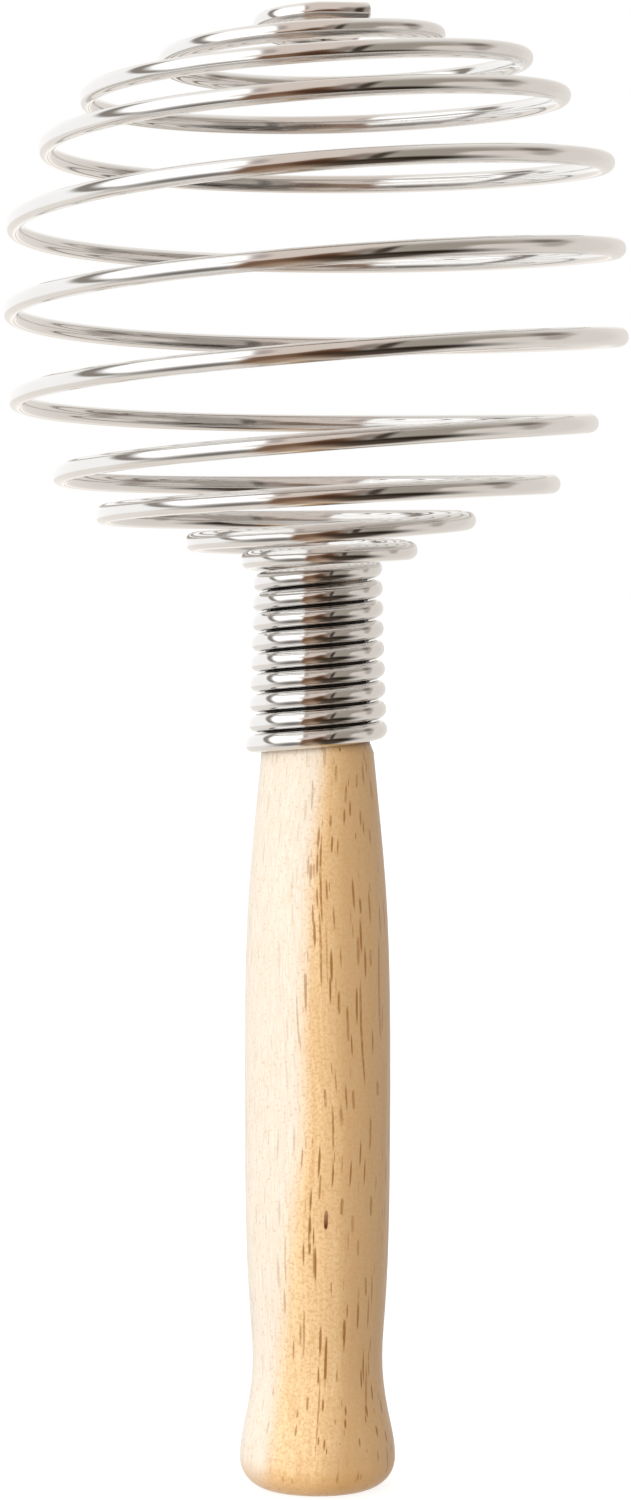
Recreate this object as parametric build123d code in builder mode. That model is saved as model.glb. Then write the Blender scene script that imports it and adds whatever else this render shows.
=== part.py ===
from build123d import *
import os
from math import asin, ceil, cos, pi, radians, sin, sqrt, tan

import numpy as np

# A hand whisk: one length of round wire, wound round the tenon of a turned wooden handle and then
# opened out into a ball of loose turns. Sizes are in millimetres and degrees. The handle's axis is
# Z, the centre of the butt's flat face is the origin, and the ball is at the top.

# ---- Handle, from the butt up: each height is above the butt's face ----
butt_face_radius = 8.3
butt_edge_rounding = 5.1
knob_neck_radius = 12.4
knob_neck_height = 12.0
waist_radius = 11.2
waist_height = 21.0
lower_grip_radius = 11.6
lower_grip_height = 30.0
grip_radius = 12.5
grip_height = 60.0
grip_length = 22.0
upper_grip_radius = 11.7
upper_grip_height = 104.3
shoulder_radius = 9.65
shoulder_height = 126.7
shoulder_slope = 5.0

# ---- Tenon, the tapered end of the handle that the wire is wound round ----
tenon_foot_radius = 8.7
tenon_foot_rise = 2.5
tenon_tip_radius = 7.85
tenon_tip_chamfer = 0.8

# ---- Wire and its close winding; turns are counted from the lower end, at the back ----
wire_diameter = 3.0
winding_turns = 9.25
winding_gap = 0.45
winding_clearance = 0.15
winding_seat_rise = 1.0
last_turn_flare = 0.8

# ---- Tail of the wire, turned in through a hole in the foot of the tenon ----
tail_bend_radius = 3.6
tail_tip_radius = 2.4
tail_end_clearance = 0.4

# ---- Ball: how far the middle of the wire reaches from the axis, turn by turn from the neck up ----
left_reach = (11.5, 21.0, 36.5, 44.0, 51.5, 52.5, 52.0, 46.5, 39.5, 26.0, 9.5)
right_reach = (15.5, 25.5, 40.0, 46.5, 51.5, 51.0, 49.0, 41.5, 35.0, 20.0, 8.5)
ball_turns = 10.25
pole_pitch = 3.6
equator_pitch = 15.65
equator_turn = 5.1
opening_turns = 4.45
turns_lean = 2.15

# ---- Unevenness of the bent turns: how far each lies above the even coil at its four quarters ----
left_lift = (0.4, 0.2, 0.6, -0.5, 0.4, 0.5, -0.3, 0.0, -0.7, 0.1, 0.0)
front_lift = (-0.2, -0.4, 0.0, -0.6, 0.3, 0.1, 0.3, 0.4, -0.7, 0.3, -0.4)
right_lift = (-0.7, 0.1, -0.4, -0.4, 0.2, -0.3, -0.1, 0.6, 0.2, 0.2, -0.4)
back_lift = (0.0, 0.6, 0.0, 0.2, 0.1, -0.5, 0.0, 0.0, -0.2, 0.0, -0.4)

# ---- Crown: the last loop lies on the turn below it and runs out level to a square cut ----
crown_rise = 2.2
crown_rise_turns = 0.75
crown_run = 8.8

# ---- Worked out from the sizes above ----
half_turn = 0.5
quarter_turn = 0.25
wire_radius = wire_diameter / 2
winding_pitch = wire_diameter + winding_gap
lean_slope = tan(radians(turns_lean))
knob_radius = butt_face_radius + butt_edge_rounding
tenon_foot_height = shoulder_height + tenon_foot_rise
seat_height = shoulder_height + winding_seat_rise
flare_height = seat_height + winding_pitch * winding_turns
tenon_tip_height = flare_height - wire_diameter
coil_turns = winding_turns + ball_turns


def tenon_radius(height):
    """Radius of the tenon's cone at a height."""
    taper = (tenon_foot_radius - tenon_tip_radius) / (tenon_tip_height - tenon_foot_height)
    return tenon_foot_radius - taper * (height - tenon_foot_height)


def winding_radius(turn):
    """The winding hugs the tenon's cone, and its lowest turn opens to clear the shoulder."""
    hug = tenon_radius(seat_height + winding_pitch * turn) + winding_clearance + wire_radius
    return hug + last_turn_flare * max(0, 1 - turn) ** 2


def smooth(values, place):
    """A smooth curve through evenly spaced values: place 0 is the first value, 1 the second."""
    first = min(int(place), len(values) - 2)
    share = place - first
    before = values[max(first - 1, 0)]
    start, end = values[first], values[first + 1]
    after = values[min(first + 2, len(values) - 1)]
    start_slope, end_slope = (end - before) / 2, (after - start) / 2
    return (
        start * (1 + 2 * share) * (1 - share) ** 2
        + end * (3 - 2 * share) * share**2
        + start_slope * share * (1 - share) ** 2
        - end_slope * (1 - share) * share**2
    )


def coil_radius(turn):
    """From the axis to the middle of the wire: the winding first, then each reach in its turn."""
    joins_winding = winding_turns - half_turn
    if turn <= joins_winding:
        return winding_radius(turn)
    reaches = [winding_radius(joins_winding - half_turn), winding_radius(joins_winding)]
    for left, right in zip(left_reach, right_reach):
        reaches += [left, right]
    return smooth(reaches, 1 + (turn - joins_winding) / half_turn)


def turn_lift(turn):
    """Unevenness of the ball's turns; it fades out in the winding's last quarter turn."""
    lifts = [0.0]
    for quarters in zip(left_lift, front_lift, right_lift, back_lift):
        lifts += quarters
    place = 1 + (turn - winding_turns) / quarter_turn
    return smooth(lifts, min(max(place, 0), len(lifts) - 1))


def coil_height(turn):
    """Height of the middle of the wire before the turns lean."""
    if turn <= winding_turns:
        return seat_height + winding_pitch * turn + turn_lift(turn)
    opened = turn - winding_turns
    swing = min(max((opened - equator_turn) / opening_turns, -1), 1)
    swell = opening_turns / 2 * (1 + swing + sin(pi * swing) / pi)
    share = min(max((turn - coil_turns + 1) / crown_rise_turns, 0), 1)
    lift = crown_rise * share**2 * (3 - 2 * share)
    even_height = flare_height + pole_pitch * opened + (equator_pitch - pole_pitch) * swell
    return even_height + lift + turn_lift(turn)


def wire_point(turn):
    """Middle of the wire. The coil is right-handed, and its turns lean up to the right."""
    angle = radians(90 + 360 * turn)
    x, y = coil_radius(turn) * cos(angle), coil_radius(turn) * sin(angle)
    return Vector(x, y, coil_height(turn) + lean_slope * x)


def wire_direction(turn):
    """Direction of the wire, towards the crown."""
    step = 0.01
    return (wire_point(turn + step) - wire_point(turn - step)).normalized()


def draw_biarc(start, start_direction, end, end_direction):
    """Draw two arcs that leave start and reach end along the given directions."""
    chord = end - start
    turning = 2 * (1 - start_direction.dot(end_direction))
    along = chord.dot(start_direction + end_direction)
    reach = (sqrt(along**2 + turning * chord.dot(chord)) - along) / turning
    first_corner = start + start_direction * reach
    second_corner = end - end_direction * reach
    middle = (first_corner + second_corner) / 2
    TangentArc(start, middle, tangent=start_direction)
    TangentArc(middle, end, tangent=(second_corner - first_corner).normalized())


def draw_tail(tip_radius):
    """Draw the tail: straight out of the tenon along a radius, then round into the lowest turn."""
    centre_radius = coil_radius(0) - tail_bend_radius
    hole_angle = radians(90) - asin(tail_bend_radius / centre_radius)
    outward = Vector(cos(hole_angle), sin(hole_angle), 0)
    foot = Vector(0, 0, wire_point(0).Z)
    tip = foot + outward * tip_radius
    bend = foot + outward * sqrt(centre_radius**2 - tail_bend_radius**2)
    Line(tip, bend)
    draw_biarc(bend, outward, wire_point(0), wire_direction(0))
    return Plane(origin=tip, z_dir=outward)


os.makedirs("parts", exist_ok=True)

# ---- Handle: turned outline, with the hole that takes the wire's tail ----
with BuildPart() as handle:
    with BuildSketch(Plane.XZ):
        with BuildLine():
            Line((0, 0), (butt_face_radius, 0))
            TangentArc((butt_face_radius, 0), (knob_radius, butt_edge_rounding), tangent=(1, 0))
            Spline(
                (knob_radius, butt_edge_rounding),
                (knob_neck_radius, knob_neck_height),
                (waist_radius, waist_height),
                (lower_grip_radius, lower_grip_height),
                (grip_radius, grip_height),
                (grip_radius, grip_height + grip_length),
                (upper_grip_radius, upper_grip_height),
                (shoulder_radius, shoulder_height),
                tangents=((0, 1), (-sin(radians(shoulder_slope)), cos(radians(shoulder_slope)))),
            )
            Polyline(
                (shoulder_radius, shoulder_height),
                (tenon_foot_radius, tenon_foot_height),
                (tenon_tip_radius, tenon_tip_height - tenon_tip_chamfer),
                (tenon_tip_radius - tenon_tip_chamfer, tenon_tip_height),
                (0, tenon_tip_height),
                (0, 0),
            )
        make_face()
    revolve(axis=Axis.Z)
    with BuildLine() as tail_hole:
        hole_start = draw_tail(tail_tip_radius - tail_end_clearance)
    with BuildSketch(hole_start):
        Circle(wire_radius + winding_clearance)
    sweep(path=tail_hole.wires()[0], mode=Mode.SUBTRACT)

# ---- Wire: tail, close winding, ball and crown, swept as one unbroken tube ----
with BuildPart() as wire_coil:
    with BuildLine() as wire_line:
        wire_start = draw_tail(tail_tip_radius)
        quarter_turns = ceil(coil_turns / quarter_turn)
        stations = [coil_turns * number / quarter_turns for number in range(quarter_turns + 1)]
        directions = [wire_direction(turn) for turn in stations]
        crown_direction = Vector(directions[-1].X, directions[-1].Y, 0).normalized()
        directions[-1] = crown_direction
        for number in range(quarter_turns):
            draw_biarc(
                wire_point(stations[number]),
                directions[number],
                wire_point(stations[number + 1]),
                directions[number + 1],
            )
        Line(wire_point(coil_turns), wire_point(coil_turns) + crown_direction * crown_run)
    with BuildSketch(wire_start):
        Circle(wire_radius)
    sweep(path=wire_line.wires()[0])

# ---- Least gap of the wire to itself, measured on points along its middle ----
point_spacing = 0.6
points = []
for edge in wire_line.wires()[0].edges():
    count = ceil(edge.length / point_spacing)
    points += [tuple(edge.position_at(number / count)) for number in range(count)]
points = np.array(points)
same_stretch = ceil(3 * wire_diameter / point_spacing)
least = min(
    np.linalg.norm(points[number + same_stretch :] - points[number], axis=1).min()
    for number in range(len(points) - same_stretch)
)
print(f"least gap of the wire to itself: {least - wire_diameter:.3f} mm")
print(f"wire length: {wire_line.wires()[0].length:.0f} mm")

handle.part.label = "handle"
export_step(handle.part, "parts/handle.step")
wire_coil.part.label = "wire_coil"
export_step(wire_coil.part, "parts/wire_coil.step")
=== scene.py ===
"""A dough whisk: a turned wooden handle with one polished wire wound on it and opened into a ball.

The handle is the CAD node with a wood finish. The wire is built here as a fine tube along the same path
as the CAD's, and replaces it. Lengths are in metres, the handle's axis is Z and the camera is on the -Y side.
"""

from math import asin, cos, pi, radians, sin, sqrt, tan

import bmesh
import bpy
from mathutils import Matrix, Vector


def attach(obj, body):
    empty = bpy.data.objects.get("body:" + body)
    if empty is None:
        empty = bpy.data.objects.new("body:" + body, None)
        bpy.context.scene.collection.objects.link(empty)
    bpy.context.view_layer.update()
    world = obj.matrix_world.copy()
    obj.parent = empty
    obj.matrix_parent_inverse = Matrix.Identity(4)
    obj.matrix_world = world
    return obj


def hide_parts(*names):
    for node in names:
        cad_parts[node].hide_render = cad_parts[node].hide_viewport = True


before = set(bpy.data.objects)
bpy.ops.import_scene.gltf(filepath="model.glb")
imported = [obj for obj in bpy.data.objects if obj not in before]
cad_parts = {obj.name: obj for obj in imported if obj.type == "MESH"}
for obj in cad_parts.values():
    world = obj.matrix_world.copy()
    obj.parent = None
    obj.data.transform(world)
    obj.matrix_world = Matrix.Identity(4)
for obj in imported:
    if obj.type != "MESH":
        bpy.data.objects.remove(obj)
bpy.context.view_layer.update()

MM = 0.001

# ---- Camera: the photograph's size in pixels, and the view that its turns and edges give ----
PHOTO_HEIGHT = 1500
FOCAL_LENGTH_PIXELS = 4120
SENSOR_HEIGHT_MM = 36.0
CAMERA_PLACE = Vector((-0.00034, -0.7064, 0.15265))
CAMERA_TILT = radians(2.074)

# ---- Tenon of the handle, which the winding hugs ----
TENON_FOOT_RADIUS = 8.7 * MM
TENON_TIP_RADIUS = 7.85 * MM
TENON_FOOT_HEIGHT = 129.2 * MM
TENON_TIP_HEIGHT = 156.6125 * MM

# ---- Close winding; turns are counted from the lower end, at the back ----
WIRE_DIAMETER = 3.2 * MM
HUG = 1.65 * MM
SEAT_HEIGHT = 127.7 * MM
WINDING_PITCH = 3.45 * MM
WINDING_TURNS = 9.25
LAST_TURN_FLARE = 0.8 * MM
TAIL_BEND_RADIUS = 3.6 * MM
TAIL_TIP_RADIUS = 2.4 * MM

# ---- Ball: how far the wire reaches from the axis, turn by turn from the neck up ----
LEFT_REACH_MM = (11.5, 21.0, 36.5, 44.0, 51.5, 52.5, 52.0, 46.5, 39.5, 26.0, 9.5)
RIGHT_REACH_MM = (15.5, 25.5, 40.0, 46.5, 51.5, 51.0, 49.0, 41.5, 35.0, 20.0, 8.5)
BALL_TURNS = 10.25
POLE_PITCH = 3.6 * MM
EQUATOR_PITCH = 15.65 * MM
EQUATOR_TURN = 5.1
OPENING_TURNS = 4.45
TURNS_LEAN = radians(2.15)

# ---- Unevenness of the bent turns: how far each lies above the even coil at its four quarters ----
LEFT_LIFT_MM = (0.4, 0.2, 0.6, -0.5, 0.4, 0.5, -0.3, 0.0, -0.7, 0.1, 0.0)
FRONT_LIFT_MM = (-0.2, -0.4, 0.0, -0.6, 0.3, 0.1, 0.3, 0.4, -0.7, 0.3, -0.4)
RIGHT_LIFT_MM = (-0.7, 0.1, -0.4, -0.4, 0.2, -0.3, -0.1, 0.6, 0.2, 0.2, -0.4)
BACK_LIFT_MM = (0.0, 0.6, 0.0, 0.2, 0.1, -0.5, 0.0, 0.0, -0.2, 0.0, -0.4)

# ---- Crown: the last loop rises off the turn below it and runs out level, in a slight bend, to its cut ----
CROWN_RISE = 2.2 * MM
CROWN_RISE_TURNS = 0.75
CROWN_RUN = 8.8 * MM
CROWN_RUN_BEND = radians(18)

# ---- Mesh of the wire ----
TAIL_STEPS = 6
TAIL_BEND_STEPS = 24
RINGS_PER_TURN = 120
CROWN_RUN_STEPS = 12
SIDES = 36
CUT_ROUNDING = 0.5 * MM
ROUNDING_STEPS = 4

# ---- Worked out from the sizes above ----
HALF_TURN = 0.5
QUARTER_TURN = 0.25
COIL_TURNS = WINDING_TURNS + BALL_TURNS
FLARE_HEIGHT = SEAT_HEIGHT + WINDING_PITCH * WINDING_TURNS


# ======================================== Path of the wire ========================================


def winding_radius(turn):
    """The winding hugs the tenon's cone, and its lowest turn opens to clear the shoulder."""
    height = SEAT_HEIGHT + WINDING_PITCH * turn
    taper = (TENON_FOOT_RADIUS - TENON_TIP_RADIUS) / (TENON_TIP_HEIGHT - TENON_FOOT_HEIGHT)
    tenon_radius = TENON_FOOT_RADIUS - taper * (height - TENON_FOOT_HEIGHT)
    return tenon_radius + HUG + LAST_TURN_FLARE * max(0, 1 - turn) ** 2


def smooth(values, place):
    """A smooth curve through evenly spaced values: place 0 is the first value, 1 the second."""
    first = min(int(place), len(values) - 2)
    share = place - first
    before = values[max(first - 1, 0)]
    start, end = values[first], values[first + 1]
    after = values[min(first + 2, len(values) - 1)]
    start_slope, end_slope = (end - before) / 2, (after - start) / 2
    return (
        start * (1 + 2 * share) * (1 - share) ** 2
        + end * (3 - 2 * share) * share**2
        + start_slope * share * (1 - share) ** 2
        - end_slope * (1 - share) * share**2
    )


def coil_radius(turn):
    """From the axis to the middle of the wire: the winding first, then each reach in its turn."""
    joins_winding = WINDING_TURNS - HALF_TURN
    if turn <= joins_winding:
        return winding_radius(turn)
    reaches = [winding_radius(joins_winding - HALF_TURN), winding_radius(joins_winding)]
    for left, right in zip(LEFT_REACH_MM, RIGHT_REACH_MM):
        reaches += [left * MM, right * MM]
    return smooth(reaches, 1 + (turn - joins_winding) / HALF_TURN)


def turn_lift(turn):
    """Unevenness of the ball's turns; it fades out in the winding's last quarter turn."""
    lifts = [0.0]
    for quarters in zip(LEFT_LIFT_MM, FRONT_LIFT_MM, RIGHT_LIFT_MM, BACK_LIFT_MM):
        lifts += quarters
    place = 1 + (turn - WINDING_TURNS) / QUARTER_TURN
    return smooth(lifts, min(max(place, 0), len(lifts) - 1)) * MM


def coil_height(turn):
    """Height of the middle of the wire before the turns lean."""
    if turn <= WINDING_TURNS:
        return SEAT_HEIGHT + WINDING_PITCH * turn + turn_lift(turn)
    opened = turn - WINDING_TURNS
    swing = min(max((opened - EQUATOR_TURN) / OPENING_TURNS, -1), 1)
    swell = OPENING_TURNS / 2 * (1 + swing + sin(pi * swing) / pi)
    share = min(max((turn - COIL_TURNS + 1) / CROWN_RISE_TURNS, 0), 1)
    lift = CROWN_RISE * share**2 * (3 - 2 * share)
    even_height = FLARE_HEIGHT + POLE_PITCH * opened + (EQUATOR_PITCH - POLE_PITCH) * swell
    return even_height + lift + turn_lift(turn)


def wire_point(turn):
    """Middle of the wire. The coil is right-handed, and its turns lean up to the right."""
    angle = radians(90 + 360 * turn)
    x, y = coil_radius(turn) * cos(angle), coil_radius(turn) * sin(angle)
    return Vector((x, y, coil_height(turn) + tan(TURNS_LEAN) * x))


def tail_path():
    """Points along the tail: out of the tenon along a radius, then round into the lowest turn."""
    centre_radius = coil_radius(0) - TAIL_BEND_RADIUS
    turned = asin(TAIL_BEND_RADIUS / centre_radius)
    foot = Vector((0, 0, wire_point(0).z))
    outward = Vector((sin(turned), cos(turned), 0))
    tip = outward * TAIL_TIP_RADIUS
    bend_start = outward * sqrt(centre_radius**2 - TAIL_BEND_RADIUS**2)
    points = [tip.lerp(bend_start, step / TAIL_STEPS) + foot for step in range(TAIL_STEPS)]
    for step in range(TAIL_BEND_STEPS):
        angle = -turned + (pi / 2 + turned) * step / TAIL_BEND_STEPS
        x, y = TAIL_BEND_RADIUS * cos(angle), centre_radius + TAIL_BEND_RADIUS * sin(angle)
        points.append(Vector((x, y, foot.z)))
    return points


def wire_path():
    """Points along the whole wire: the tail, the winding, the ball and the level run at the crown."""
    points = tail_path()
    rings = round(COIL_TURNS * RINGS_PER_TURN)
    points += [wire_point(COIL_TURNS * ring / rings) for ring in range(rings + 1)]
    end = points[-1]
    heading = end - points[-2]
    heading = Vector((heading.x, heading.y, 0)).normalized()
    for step in range(CROWN_RUN_STEPS):
        bend = Matrix.Rotation(CROWN_RUN_BEND * (step + 0.5) / CROWN_RUN_STEPS, 3, "Z")
        end = end + bend @ heading * CROWN_RUN / CROWN_RUN_STEPS
        points.append(end)
    return points


# ======================================== Building with nodes ========================================


def add_node(tree, kind, inputs=None, **settings):
    """Add a node, set what it does, and fill its inputs with values or with other nodes' outputs."""
    made = tree.nodes.new(kind)
    for name, value in settings.items():
        setattr(made, name, value)
    for name, value in (inputs or {}).items():
        if isinstance(value, bpy.types.NodeSocket):
            tree.links.new(value, made.inputs[name])
        else:
            made.inputs[name].default_value = value
    return made


def calculate(tree, operation, first, second=0.0, third=0.0):
    """A sum on numbers."""
    inputs = {0: first, 1: second, 2: third}
    return add_node(tree, "ShaderNodeMath", inputs, operation=operation).outputs[0]


def vector_calculate(tree, operation, first, second):
    """A sum on vectors."""
    inputs = {0: first, 1: second}
    return add_node(tree, "ShaderNodeVectorMath", inputs, operation=operation).outputs[0]


def separate(tree, vector):
    """The X, Y and Z of a vector."""
    return add_node(tree, "ShaderNodeSeparateXYZ", {"Vector": vector}).outputs


def object_place(tree):
    """The place of a point in its object, in metres."""
    return add_node(tree, "ShaderNodeTexCoord").outputs["Object"]


def mix_colours(tree, share, first, second):
    """The first colour where share is 0, the second where it is 1."""
    inputs = {0: share, 6: first, 7: second}
    return add_node(tree, "ShaderNodeMix", inputs, data_type="RGBA").outputs[2]


def rise(tree, value, start, end, low=0.0, high=1.0):
    """A smooth step: low where the value is under start, high where it is over end."""
    inputs = {"Value": value, "From Min": start, "From Max": end, "To Min": low, "To Max": high}
    return add_node(tree, "ShaderNodeMapRange", inputs, interpolation_type="SMOOTHSTEP").outputs["Result"]


def cells_of(tree, place, cell_mm):
    """The place counted in cells that are cell_mm millimetres long along X, Y and Z."""
    return vector_calculate(tree, "MULTIPLY", place, [1 / (size * MM) for size in cell_mm])


def stretched_noise(tree, place, cell_mm, detail=2.0):
    """Noise whose grains are cell_mm millimetres long along X, Y and Z."""
    inputs = {"Vector": cells_of(tree, place, cell_mm), "Scale": 1.0, "Detail": detail}
    return add_node(tree, "ShaderNodeTexNoise", inputs).outputs["Fac"]


def linear(red, green, blue):
    """A colour as it looks on the screen, from 0 to 1, turned into the light that shows it."""
    screen = (red, green, blue)
    light = [value / 12.92 if value <= 0.04045 else ((value + 0.055) / 1.055) ** 2.4 for value in screen]
    return (*light, 1.0)


def new_material(name):
    """A material with one Principled shader. Returns the material, its node tree and the shader."""
    material = bpy.data.materials.new(name)
    material.use_nodes = True
    tree = material.node_tree
    return material, tree, tree.nodes["Principled BSDF"]


def add_relief(tree, shader, height, depth, strength=1.0):
    """Small relief in the surface, depth metres deep where height goes from 0 to 1."""
    bump = add_node(tree, "ShaderNodeBump", {"Strength": strength, "Distance": depth, "Height": height})
    tree.links.new(bump.outputs["Normal"], shader.inputs["Normal"])


# ======================================== Wire ========================================

# Marks on the steel: their sizes in millimetres along X, Y and Z. The die lines are measured round and along
# the wire instead: round it in thousandths of its radius, along it in millimetres.
DIE_LINES = (50, 50, 20)
WIRE_WAVES_MM = (4, 4, 4)
WIRE_SMEARS_MM = (9, 9, 5)
CUT_MARKS_MM = (0.8, 0.8, 0.08)
# Most of a noise's values lie between these.
NOISE_LIMITS = (0.3, 0.7)
# Each finish has its darker and its lighter colour, its least and its most roughness, and its relief's depth.
WIRE_COLOURS = ((0.87, 0.865, 0.855), (0.895, 0.89, 0.885))
WIRE_ROUGHNESS = (0.05, 0.1)
WIRE_RELIEF = 0.008 * MM
DIE_LINE_SHARE = 0.04
CUT_COLOURS = ((0.52, 0.51, 0.50), (0.75, 0.74, 0.73))
CUT_ROUGHNESS = (0.25, 0.45)
CUT_RELIEF = 0.04 * MM
CUT_RELIEF_STRENGTH = 0.6


def finish_steel(tree, shader, marks, colours, roughness):
    """Bare metal, whose colour and roughness follow the marks."""
    darker, lighter = colours
    colour = mix_colours(tree, marks, linear(*darker), linear(*lighter))
    tree.links.new(colour, shader.inputs["Base Color"])
    shader.inputs["Metallic"].default_value = 1.0
    tree.links.new(rise(tree, marks, *NOISE_LIMITS, *roughness), shader.inputs["Roughness"])


def polished_wire_material():
    """Bright drawn wire: nearly a mirror, with faint lengthwise die lines and a slightly uneven surface."""
    material, tree, shader = new_material("polished_wire")
    place = object_place(tree)
    drawn = add_node(tree, "ShaderNodeAttribute", attribute_name="drawn").outputs["Vector"]
    lines = stretched_noise(tree, drawn, DIE_LINES, detail=3.0)
    waves = stretched_noise(tree, place, WIRE_WAVES_MM, detail=1.0)
    smears = stretched_noise(tree, place, WIRE_SMEARS_MM, detail=4.0)
    finish_steel(tree, shader, smears, WIRE_COLOURS, WIRE_ROUGHNESS)
    add_relief(tree, shader, calculate(tree, "MULTIPLY_ADD", lines, DIE_LINE_SHARE, waves), WIRE_RELIEF)
    return material


def cut_steel_material():
    """The sheared ends of the wire: duller, with fine marks across the cut."""
    material, tree, shader = new_material("cut_steel")
    marks = stretched_noise(tree, object_place(tree), CUT_MARKS_MM, detail=3.0)
    finish_steel(tree, shader, marks, CUT_COLOURS, CUT_ROUGHNESS)
    add_relief(tree, shader, marks, CUT_RELIEF, CUT_RELIEF_STRENGTH)
    return material


def wire_rings():
    """Middle and radius of each ring of the tube. The edges of its two cuts are rounded."""
    path = wire_path()
    radius = WIRE_DIAMETER / 2
    first_way, last_way = (path[1] - path[0]).normalized(), (path[-1] - path[-2]).normalized()
    rounding = []
    for step in range(ROUNDING_STEPS + 1):
        angle = pi / 2 * step / ROUNDING_STEPS
        rounding.append((CUT_ROUNDING * (1 - sin(angle)), radius - CUT_ROUNDING * (1 - cos(angle))))
    rings = [(path[0] + first_way * inset, ring_radius) for inset, ring_radius in reversed(rounding)]
    rings += [(point, radius) for point in path[1:-1]]
    rings += [(path[-1] - last_way * inset, ring_radius) for inset, ring_radius in rounding]
    return rings


def tube_mesh(rings):
    """A tube through the rings, with a flat face at each end.

    Each point's "drawn" value is its place round the wire, on a circle of radius 1, and along it.
    """
    vertices, faces, drawn = [], [], []
    length = 0.0
    for number, (middle, ring_radius) in enumerate(rings):
        before, after = rings[max(number - 1, 0)][0], rings[min(number + 1, len(rings) - 1)][0]
        way = (after - before).normalized()
        outward = way.cross(Vector((0, 0, 1))).normalized()
        upward = outward.cross(way)
        length += (middle - before).length
        for side in range(SIDES):
            angle = 2 * pi * side / SIDES
            vertices.append(middle + (outward * cos(angle) + upward * sin(angle)) * ring_radius)
            drawn.append((cos(angle), sin(angle), length))
    for number in range(len(rings) - 1):
        for side in range(SIDES):
            beside = (side + 1) % SIDES
            low, high = number * SIDES, (number + 1) * SIDES
            faces.append((low + side, high + side, high + beside, low + beside))
    tube_faces = len(faces)
    faces.append(tuple(range(SIDES)))
    faces.append(tuple(reversed(range(len(vertices) - SIDES, len(vertices)))))
    mesh = bpy.data.meshes.new("wire")
    mesh.from_pydata(vertices, [], faces)
    layer = mesh.attributes.new("drawn", "FLOAT_VECTOR", "POINT")
    layer.data.foreach_set("vector", [value for row in drawn for value in row])
    mesh.materials.append(polished_wire_material())
    mesh.materials.append(cut_steel_material())
    for face in mesh.polygons:
        face.use_smooth = face.index < tube_faces
        face.material_index = 0 if face.index < tube_faces else 1
    return mesh


def build_wire():
    """The whole wire as one tube, in place of the CAD's."""
    wire = bpy.data.objects.new("polished_wire", tube_mesh(wire_rings()))
    bpy.context.scene.collection.objects.link(wire)
    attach(wire, "root")
    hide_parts("wire_coil")


# ======================================== Handle ========================================

# ---- Marks in the wood: their sizes in millimetres along X, Y and Z ----
BANDS_MM = (3.2, 3.2, 110)
STREAKS_MM = (0.9, 0.9, 40)
FIBRES_MM = (0.22, 0.22, 5)
MOTTLE_MM = (0.5, 0.5, 0.5)
PORE_CROWDS_MM = (9, 9, 26)
PORE_BREAKS_MM = (3, 3, 3.2)
RAGGED_EDGES_MM = (0.3, 0.3, 1.5)
# Each kind of pore has the size of its cells, with one spindle in each, the widest spindle's reach as a share
# of the cell, and how far the pattern is moved, in metres.
SHORT_PORES = ((0.85, 0.85, 11), 0.32, 0.0)
LONG_PORES = ((1.4, 1.4, 34), 0.21, 0.37)
THINNEST_PORE = 0.35
PORE_EDGE = (0.6, 1.1)
# The grain sways by up to half of GRAIN_SWAY either way.
GRAIN_SWAY = 5 * MM
GRAIN_SWAY_SCALE = 22.0

# ---- Colours in the wood, as the screen shows them from 0 to 1 ----
PALE_BAND = (0.92, 0.80, 0.62)
GOLDEN_BAND = (0.865, 0.73, 0.545)
# A darker tone for the right half of the handle.
RIGHT_SIDE_TONE = (0.73, 0.60, 0.43)
# Pale colour for the painted highlight on the lit left side.
PAINTED_HIGHLIGHT = (0.88, 0.86, 0.815)
DARK_FIBRE = (0.75, 0.58, 0.37)
DARK_MOTTLE = (0.74, 0.57, 0.35)
OPEN_PORE = (0.55, 0.37, 0.15)
FLECK = (0.36, 0.12, 0.0)
# Darker end grain at the foot, which is also painted shade next to the floor.
BUTT_GRAIN_AND_SHADE = (0.84, 0.65, 0.41)
# Painted shade for the tenon inside the winding, seen through the gaps between the turns.
PAINTED_TENON_SHADE = (0.13, 0.10, 0.07)

# ---- How much of each colour shows, from 0 to 1 ----
RIGHT_SIDE_TONE_SHARE = 0.88
PAINTED_HIGHLIGHT_SHARE = 0.85
FIBRE_SHARE = 0.22
MOTTLE_SHARE = 0.5
PORE_SHARE = 0.9
BUTT_GRAIN_AND_SHADE_SHARE = 0.6
FLECK_TOP_SHARE = 0.6
# Pores are faintest between their crowds, and vessels at their ragged edges.
LEAST_CROWD = 0.6
LEAST_RAGGED = 0.45
# The painted highlight on the left has less mottle, and its pores are faint.
PAINTED_HIGHLIGHT_MOTTLE = -0.15
PAINTED_HIGHLIGHT_PORES = -0.85

# ---- Where they show ----
RIGHT_SIDE_TONE_EDGE = (-0.5 * MM, 6 * MM)
# The pale painted highlight is on the left, the side the window lights. Its soft edge leans to the right as
# it rises.
PAINTED_HIGHLIGHT_EDGE = (-10.5 * MM, -6.5 * MM)
PAINTED_HIGHLIGHT_LEAN = -0.075
FRONT_EDGE = (-4 * MM, -2 * MM)
BUTT_GRAIN_AND_SHADE_HEIGHTS = (1.5 * MM, 7.0 * MM)
# The tenon inside the winding is painted dark, as painted shade in the narrow gaps between the close turns.
# It darkens from the first height to the second, and the painted shade ends between the other two, under the
# tenon's top.
TENON_SHADE_STARTS = (127.6 * MM, 129.2 * MM)
TENON_SHADE_ENDS = (155.4 * MM, 156.2 * MM)

# ---- Finish: thin oil with a soft gloss ----
WOOD_ROUGHNESS = (0.42, 0.52)
WOOD_SPECULAR = 0.3
OIL_WEIGHT = 0.35
OIL_ROUGHNESS = 0.25
WOOD_RELIEF = 0.06 * MM
WOOD_RELIEF_STRENGTH = 0.5
FIBRE_HEIGHT = 0.25
PORE_HEIGHT = -0.8

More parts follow.
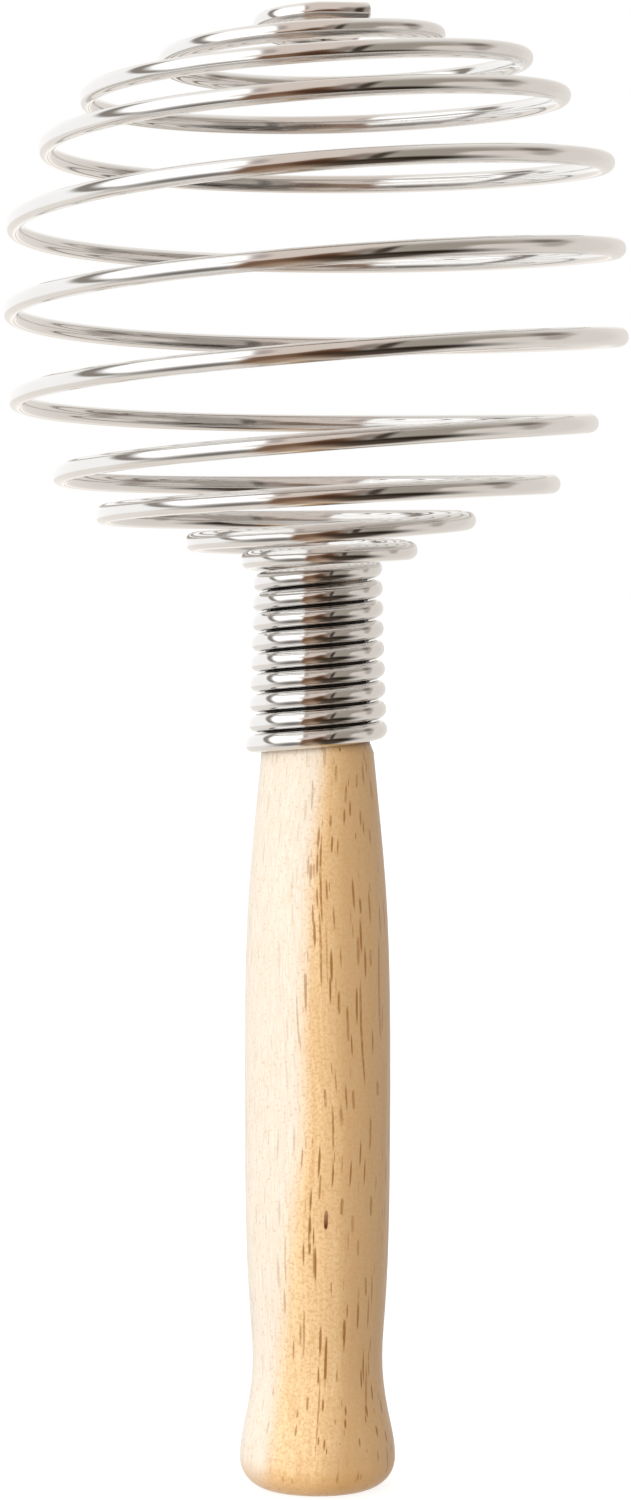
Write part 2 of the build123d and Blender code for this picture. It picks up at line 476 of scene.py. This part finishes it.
# Vessels that were cut open lengthwise on the front of the handle and hold dark finish. Each has its place
# across the handle, the heights of its two ends, its width, all in millimetres, and how dark it is.
VESSELS = (
    (1.2, 124.8, 127.9, 0.6, 0.5),
    (3.2, 121.8, 124.8, 0.5, 0.6),
    (6.8, 120.9, 123.3, 0.4, 0.8),
    (5.0, 118.4, 121.6, 0.4, 0.7),
    (-0.8, 117.2, 122.5, 0.4, 0.5),
    (2.6, 114.4, 116.5, 0.5, 0.7),
    (1.2, 98.1, 113.5, 0.4, 0.9),
    (0.1, 105.7, 108.4, 0.5, 0.6),
    (0.8, 87.1, 100.3, 0.4, 0.8),
    (1.8, 87.8, 98.1, 0.3, 0.5),
    (7.1, 90.8, 95.9, 0.5, 0.7),
    (7.4, 70.5, 88.6, 0.4, 0.9),
    (3.7, 82.7, 86.8, 0.5, 0.9),
    (5.1, 78.0, 84.2, 0.5, 0.7),
    (-3.3, 76.8, 86.4, 0.3, 0.5),
    (0.3, 66.9, 70.2, 0.5, 0.8),
    (1.4, 59.5, 67.6, 0.4, 0.8),
    (8.2, 59.1, 65.1, 0.4, 0.7),
    (-0.5, 51.3, 55.7, 0.4, 0.7),
    (3.5, 48.6, 51.5, 0.6, 0.8),
    (-1.1, 38.0, 43.2, 0.4, 0.7),
    (-5.8, 36.5, 45.2, 0.3, 0.4),
    (8.0, 34.3, 37.7, 0.4, 0.8),
    (4.1, 26.8, 30.7, 0.6, 0.9),
    (-2.9, 24.1, 32.6, 0.4, 0.6),
    (8.3, 13.8, 22.5, 0.4, 0.7),
    (0.1, 8.0, 21.3, 0.3, 0.7),
    (10.6, 78.0, 95.0, 0.4, 0.6),
    (9.2, 90.5, 93.5, 0.4, 0.6),
    (9.6, 68.3, 71.0, 0.5, 0.6),
    (5.2, 66.5, 69.8, 0.5, 0.7),
    (2.9, 63.8, 66.8, 0.7, 0.5),
    (9.0, 47.9, 51.5, 0.5, 0.7),
    (5.5, 45.5, 48.5, 0.6, 0.5),
    (6.6, 41.3, 44.2, 0.5, 0.5),
)
# A dark red-brown fleck, given like a vessel: its place across, the heights of its two ends and its width.
DARK_FLECK = (0.8, 46.2, 49.6, 0.75)


def swaying_grain(tree, place):
    """The place moved a little to and fro across the handle, so that the grain isn't straight."""
    inputs = {"Vector": place, "Scale": GRAIN_SWAY_SCALE, "Detail": 1.0}
    sway = add_node(tree, "ShaderNodeTexNoise", inputs).outputs["Color"]
    sway = vector_calculate(tree, "SUBTRACT", sway, (0.5, 0.5, 0.5))
    sway = vector_calculate(tree, "MULTIPLY", sway, (GRAIN_SWAY, GRAIN_SWAY, 0.0))
    return vector_calculate(tree, "ADD", place, sway)


def spindles(tree, grain, cell_mm, widest, shift):
    """Spindles of one kind, strewn through the wood along the grain: 1 inside one."""
    moved = vector_calculate(tree, "ADD", grain, (shift, shift, shift))
    inputs = {"Vector": cells_of(tree, moved, cell_mm), "Scale": 1.0}
    cells = add_node(tree, "ShaderNodeTexVoronoi", inputs)
    chance = add_node(tree, "ShaderNodeSeparateColor", {"Color": cells.outputs["Color"]}).outputs["Red"]
    reach = rise(tree, chance, 0.1, 1.0, widest * THINNEST_PORE, widest)
    nearness = calculate(tree, "DIVIDE", cells.outputs["Distance"], reach)
    return rise(tree, nearness, *PORE_EDGE, 1.0, 0.0)


def dash(tree, across, height, middle, low, high, width):
    """One dash along the grain, with its place and width in millimetres: 1 inside it."""
    beside = calculate(tree, "SUBTRACT", across, middle * MM)
    beside = calculate(tree, "DIVIDE", beside, width / 2 * MM)
    above = calculate(tree, "SUBTRACT", height, (low + high) / 2 * MM)
    above = calculate(tree, "DIVIDE", above, (high - low) / 2 * MM)
    beside = calculate(tree, "POWER", beside, 2.0)
    above = calculate(tree, "POWER", above, 4.0)
    return rise(tree, calculate(tree, "ADD", beside, above), 0.4, 1.3, 1.0, 0.0)


def open_pores(tree, place, grain, painted_highlight):
    """Short and long pores all round the handle, in crowds, and faint under the painted highlight."""
    short_pores = spindles(tree, grain, *SHORT_PORES)
    long_pores = spindles(tree, grain, *LONG_PORES)
    breaks = rise(tree, stretched_noise(tree, place, PORE_BREAKS_MM, detail=1.0), 0.37, 0.5)
    long_pores = calculate(tree, "MULTIPLY", long_pores, breaks)
    crowd = stretched_noise(tree, place, PORE_CROWDS_MM, detail=1.0)
    crowd = rise(tree, crowd, 0.34, 0.6, LEAST_CROWD, 1.0)
    pores = calculate(tree, "MULTIPLY", calculate(tree, "MAXIMUM", short_pores, long_pores), crowd)
    strength = calculate(tree, "MULTIPLY_ADD", painted_highlight, PAINTED_HIGHLIGHT_PORES, 1.0)
    return calculate(tree, "MULTIPLY", pores, strength)


def open_vessels(tree, place, across, height, front):
    """The large vessels on the front of the handle, with ragged edges."""
    vessels = 0.0
    for middle, low, high, width, darkness in VESSELS:
        vessel = dash(tree, across, height, middle, low, high, width)
        vessels = calculate(tree, "MAXIMUM", vessels, calculate(tree, "MULTIPLY", vessel, darkness))
    ragged = rise(tree, stretched_noise(tree, place, RAGGED_EDGES_MM), 0.3, 0.55, LEAST_RAGGED, 1.0)
    return calculate(tree, "MULTIPLY", calculate(tree, "MULTIPLY", vessels, front), ragged)


def wood_material():
    """Pale turned hardwood: soft bands, fine fibres and many short brown vessels along the grain."""
    material, tree, shader = new_material("turned_wood")
    place = object_place(tree)
    grain = swaying_grain(tree, place)
    across, depth = separate(tree, grain)["X"], separate(tree, grain)["Y"]
    height = separate(tree, place)["Z"]

    bands = calculate(tree, "MULTIPLY", stretched_noise(tree, grain, BANDS_MM), 0.5)
    streaks = stretched_noise(tree, grain, STREAKS_MM, detail=3.0)
    tone = rise(tree, calculate(tree, "MULTIPLY_ADD", streaks, 0.5, bands), 0.36, 0.66)
    colour = mix_colours(tree, tone, linear(*PALE_BAND), linear(*GOLDEN_BAND))
    # Darker tone from the middle of the handle to its right side.
    right_side_tone = rise(tree, across, *RIGHT_SIDE_TONE_EDGE, 0.0, RIGHT_SIDE_TONE_SHARE)
    colour = mix_colours(tree, right_side_tone, colour, linear(*RIGHT_SIDE_TONE))
    # Painted highlight: the lit left side is painted pale, and its mottle and pores are faded.
    leaned = calculate(tree, "MULTIPLY_ADD", height, PAINTED_HIGHLIGHT_LEAN, across)
    painted_highlight = rise(tree, leaned, *PAINTED_HIGHLIGHT_EDGE, PAINTED_HIGHLIGHT_SHARE, 0.0)
    colour = mix_colours(tree, painted_highlight, colour, linear(*PAINTED_HIGHLIGHT))

    fibres = stretched_noise(tree, grain, FIBRES_MM)
    dark_fibres = rise(tree, fibres, 0.35, 0.7, 0.0, FIBRE_SHARE)
    colour = mix_colours(tree, dark_fibres, colour, linear(*DARK_FIBRE))
    mottle = stretched_noise(tree, place, MOTTLE_MM)
    mottle = calculate(tree, "MULTIPLY_ADD", painted_highlight, PAINTED_HIGHLIGHT_MOTTLE, mottle)
    mottle = rise(tree, mottle, 0.4, 0.7, 0.0, MOTTLE_SHARE)
    colour = mix_colours(tree, mottle, colour, linear(*DARK_MOTTLE))

    front = rise(tree, depth, *FRONT_EDGE, 1.0, 0.0)
    pores = open_pores(tree, place, grain, painted_highlight)
    pores = calculate(tree, "MAXIMUM", pores, open_vessels(tree, place, across, height, front))
    dark_pores = calculate(tree, "MULTIPLY", pores, PORE_SHARE)
    colour = mix_colours(tree, dark_pores, colour, linear(*OPEN_PORE))
    fleck = calculate(tree, "MULTIPLY", dash(tree, across, height, *DARK_FLECK), front)
    fleck_low, fleck_high = DARK_FLECK[1] * MM, DARK_FLECK[2] * MM
    fleck_shade = rise(tree, height, fleck_low, fleck_high, 1.0, FLECK_TOP_SHARE)
    colour = mix_colours(tree, calculate(tree, "MULTIPLY", fleck, fleck_shade), colour, linear(*FLECK))

    # The foot is darkened: partly its end grain, partly painted shade near the floor.
    butt_grain_and_shade = rise(tree, height, *BUTT_GRAIN_AND_SHADE_HEIGHTS, BUTT_GRAIN_AND_SHADE_SHARE, 0.0)
    colour = mix_colours(tree, butt_grain_and_shade, colour, linear(*BUTT_GRAIN_AND_SHADE))
    # Painted shade: the tenon inside the winding is darkened, so that the gaps between the turns look dark.
    tenon_shade_end = rise(tree, height, *TENON_SHADE_ENDS, 1.0, 0.0)
    tenon_shade = calculate(tree, "MULTIPLY", rise(tree, height, *TENON_SHADE_STARTS), tenon_shade_end)
    colour = mix_colours(tree, tenon_shade, colour, linear(*PAINTED_TENON_SHADE))

    tree.links.new(colour, shader.inputs["Base Color"])
    tree.links.new(rise(tree, tone, 0.0, 1.0, *WOOD_ROUGHNESS), shader.inputs["Roughness"])
    shader.inputs["Specular IOR Level"].default_value = WOOD_SPECULAR
    shader.inputs["Coat Weight"].default_value = OIL_WEIGHT
    shader.inputs["Coat Roughness"].default_value = OIL_ROUGHNESS
    pore_relief = calculate(tree, "MULTIPLY", pores, PORE_HEIGHT)
    relief = calculate(tree, "MULTIPLY_ADD", fibres, FIBRE_HEIGHT, pore_relief)
    add_relief(tree, shader, relief, WOOD_RELIEF, WOOD_RELIEF_STRENGTH)
    return material


def finish_handle():
    """The CAD's handle, in wood."""
    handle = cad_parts["handle"]
    handle.data.materials.clear()
    handle.data.materials.append(wood_material())


# ======================================== Studio ========================================

WHITE = (1.0, 1.0, 1.0, 1.0)

# ---- Lamp: the way to it, and how wide and strong it is ----
LAMP_WAY = (-0.1, -1.0, 0.2)
LAMP_ANGLE = radians(50)
LAMP_STRENGTH = 2.42

# ---- Floor: its own grey, which takes the shadow, and its glow, which makes it white ----
FLOOR_HALF_SIZE = 40.0
FLOOR_GREY = (0.3, 0.3, 0.3, 1.0)
FLOOR_GLOW = 0.82

# ---- Tent: a white shell round the object, with cards of other light on its inside ----
TENT_RADIUS = 6.0
TENT_MIDDLE = (0.0, 0.0, 0.2)
TENT_SEGMENTS, TENT_RINGS = 64, 32
TENT_WHITE = (1.17, 1.17, 1.17, 1.0)
WIRE_REFLECTANCE = 0.75
WINDOW_LIGHT = (1.5, 1.5, 1.5, 1.0)
LEAST_SQUARED_WIDTH = 1e-4

# The places of the cards are given as a round wire in front of the camera mirrors them: across goes from -1,
# the wire's left rim, to 1, its right rim, and up from -1, its lower rim, to 1. Each card is a rounded shape
# with a middle, half sizes, a turn in degrees, a squareness (2 is an ellipse, more is boxier), a soft edge,
# and its colour as the wire shows it, from 0 to 255. Later cards are in front.
FRONT_CARDS = (
    ((-0.16, 0.14), (0.58, 0.70), 8, 2, 0.03, (134, 128, 122)),
    ((-0.16, 0.14), (0.505, 0.61), 8, 2, 0.06, "window"),
    ((-0.25, 0.94), (0.26, 0.34), 0, 3, 0.25, (236, 234, 231)),
    ((-0.36, -0.29), (0.24, 0.12), -8, 2, 0.7, (205, 202, 199)),
    ((-0.30, -0.87), (0.70, 0.46), -6, 4, 0.15, (221, 216, 211)),
    ((-0.29, -0.42), (0.24, 0.15), -12, 2, 0.7, (118, 113, 109)),
    ((0.45, 0.22), (0.655, 0.86), 0, 8, 0.03, (209, 204, 199)),
    ((0.4, -0.95), (0.9, 0.36), 0, 4, 0.15, (214, 209, 204)),
    ((0.2, 1.05), (0.9, 0.33), 0, 2, 0.5, (226, 223, 219)),
    ((0.0, -1.1), (0.6, 0.28), 0, 2, 0.5, (238, 234, 229)),
    ((0.40, 0.17), (0.26, 0.38), 0, 2.5, 0.5, (152, 144, 134)),
    ((0.67, 0.34), (0.06, 0.18), 22, 2, 0.6, (120, 112, 105)),
    ((0.74, 0.05), (0.045, 0.24), 0, 2, 0.5, (168, 160, 153)),
    ((0.59, -0.04), (0.11, 0.21), 0, 3, 0.3, (208, 200, 194)),
    ((0.0, 0.42), (0.185, 0.42), 0, 4, 0.2, (206, 195, 187)),
    ((-0.175, 0.33), (0.03, 0.25), 0, 2, 0.6, (172, 160, 156)),
    ((-0.02, -0.22), (0.185, 0.38), 0, 4, 0.15, (118, 91, 72)),
    ((-0.13, 0.09), (0.16, 0.10), 38, 2, 0.45, (206, 192, 184)),
    ((0.03, -0.60), (0.15, 0.26), 8, 2, 0.4, (152, 128, 108)),
    ((0.05, -0.84), (0.07, 0.24), 5, 2, 0.6, (185, 168, 153)),
    ((0.04, -0.17), (0.08, 0.18), 0, 2, 0.7, (76, 51, 38)),
    ((0.15, 0.12), (0.05, 0.24), 0, 2, 0.7, (132, 119, 110)),
    ((0.29, -0.37), (0.26, 0.22), 0, 2, 0.5, (44, 36, 27)),
    ((0.21, -0.56), (0.13, 0.17), 0, 2, 0.6, (70, 60, 52)),
    ((0.215, 0.06), (0.028, 0.32), 0, 3, 0.5, (62, 53, 45)),
)
# The same for a wire seen from behind, where across is still along +X.
BACK_CARDS = (
    ((0.24, 0.05), (0.09, 0.34), 0, 3, 0.5, (213, 208, 203)),
    ((0.0, -0.46), (0.36, 0.10), 0, 2.5, 0.5, (216, 208, 200)),
)


def card_light(colour):
    """The light of a card that the wire shows in this colour."""
    if colour == "window":
        return WINDOW_LIGHT
    red, green, blue, alpha = linear(*[value / 255 for value in colour])
    return (red / WIRE_REFLECTANCE, green / WIRE_REFLECTANCE, blue / WIRE_REFLECTANCE, alpha)


def inside_card(tree, across, up, middle, half, turn, squareness, softness):
    """1 inside the card, 0 outside it, and between the two over its soft edge."""
    cosine, sine = cos(radians(turn)), sin(radians(turn))
    x = calculate(tree, "SUBTRACT", across, middle[0])
    z = calculate(tree, "SUBTRACT", up, middle[1])
    beside = calculate(tree, "MULTIPLY", z, sine / half[0])
    beside = calculate(tree, "MULTIPLY_ADD", x, cosine / half[0], beside)
    above = calculate(tree, "MULTIPLY", x, -sine / half[1])
    above = calculate(tree, "MULTIPLY_ADD", z, cosine / half[1], above)
    beside = calculate(tree, "POWER", calculate(tree, "ABSOLUTE", beside), squareness)
    above = calculate(tree, "POWER", calculate(tree, "ABSOLUTE", above), squareness)
    reach = calculate(tree, "POWER", calculate(tree, "ADD", beside, above), 1 / squareness)
    return rise(tree, reach, 1 - softness, 1 + softness, 1.0, 0.0)


def tent_light(tree):
    """The light of the tent by direction: white, with the cards on it.

    A mirror that shows a direction to the front faces halfway between the two. Its own direction, which says
    where on a round wire it is, is their sum divided by the sum's length, the width.
    """
    way = add_node(tree, "ShaderNodeVectorMath", {0: object_place(tree)}, operation="NORMALIZE").outputs[0]
    parts = separate(tree, way)
    light = TENT_WHITE
    for cards, towards in ((FRONT_CARDS, -1.0), (BACK_CARDS, 1.0)):
        width = calculate(tree, "MULTIPLY_ADD", parts["Y"], 2.0 * towards, 2.0)
        width = calculate(tree, "SQRT", calculate(tree, "MAXIMUM", width, LEAST_SQUARED_WIDTH))
        across = calculate(tree, "DIVIDE", parts["X"], width)
        up = calculate(tree, "DIVIDE", parts["Z"], width)
        for *shape, colour in cards:
            inside = inside_card(tree, across, up, *shape)
            light = mix_colours(tree, inside, light, card_light(colour))
    return light


def build_tent():
    """The tent lights the object and shows in its reflections. The camera looks through it."""
    shell = bmesh.new()
    bmesh.ops.create_uvsphere(shell, u_segments=TENT_SEGMENTS, v_segments=TENT_RINGS, radius=TENT_RADIUS)
    mesh = bpy.data.meshes.new("tent")
    shell.to_mesh(mesh)
    shell.free()
    tent = bpy.data.objects.new("tent", mesh)
    tent.location = TENT_MIDDLE
    bpy.context.scene.collection.objects.link(tent)
    material = bpy.data.materials.new("tent")
    material.use_nodes = True
    tree = material.node_tree
    glow = add_node(tree, "ShaderNodeEmission", {"Color": tent_light(tree), "Strength": 1.0}).outputs[0]
    tree.links.new(glow, tree.nodes["Material Output"].inputs["Surface"])
    material.cycles.emission_sampling = "NONE"
    mesh.materials.append(material)
    tent.visible_camera = False
    tent.visible_shadow = False


def build_lamp():
    """A wide soft lamp in front, a little to the left and above. Its own shape shows in no reflection."""
    lamp = bpy.data.objects.new("lamp", bpy.data.lights.new("lamp", "SUN"))
    lamp.data.energy = LAMP_STRENGTH
    lamp.data.angle = LAMP_ANGLE
    lamp.rotation_euler = Vector(LAMP_WAY).to_track_quat("Z", "Y").to_euler()
    lamp.visible_glossy = False
    bpy.context.scene.collection.objects.link(lamp)


def build_world():
    """Plain white, behind everything."""
    world = bpy.data.worlds.new("studio")
    bpy.context.scene.world = world
    world.use_nodes = True
    world.node_tree.nodes["Background"].inputs["Color"].default_value = WHITE


def build_floor():
    """A wide white floor that takes a faint shadow. The tent below it still lights the object."""
    size = FLOOR_HALF_SIZE
    mesh = bpy.data.meshes.new("floor")
    corners = [(-size, -size, 0), (size, -size, 0), (size, size, 0), (-size, size, 0)]
    mesh.from_pydata(corners, [], [(0, 1, 2, 3)])
    floor = bpy.data.objects.new("floor", mesh)
    bpy.context.scene.collection.objects.link(floor)
    material = bpy.data.materials.new("floor")
    material.use_nodes = True
    tree = material.node_tree
    matt = add_node(tree, "ShaderNodeBsdfDiffuse", {"Color": FLOOR_GREY}).outputs[0]
    glow = add_node(tree, "ShaderNodeEmission", {"Color": WHITE, "Strength": FLOOR_GLOW}).outputs[0]
    both = add_node(tree, "ShaderNodeAddShader", {0: matt, 1: glow}).outputs[0]
    tree.links.new(both, tree.nodes["Material Output"].inputs["Surface"])
    mesh.materials.append(material)
    floor.visible_diffuse = False
    floor.visible_glossy = False
    floor.visible_transmission = False
    floor.visible_shadow = False


def build_camera():
    """The camera, at the photograph's height and angle."""
    camera = bpy.data.objects.new("camera", bpy.data.cameras.new("camera"))
    bpy.context.scene.collection.objects.link(camera)
    camera.data.sensor_fit = "VERTICAL"
    camera.data.sensor_height = SENSOR_HEIGHT_MM
    camera.data.lens = FOCAL_LENGTH_PIXELS / PHOTO_HEIGHT * SENSOR_HEIGHT_MM
    camera.location = CAMERA_PLACE
    camera.rotation_euler = (pi / 2 - CAMERA_TILT, 0, 0)
    bpy.context.scene.camera = camera


build_wire()
finish_handle()
build_tent()
build_lamp()
build_world()
build_floor()
build_camera()
bpy.context.scene.view_settings.view_transform = "Standard"
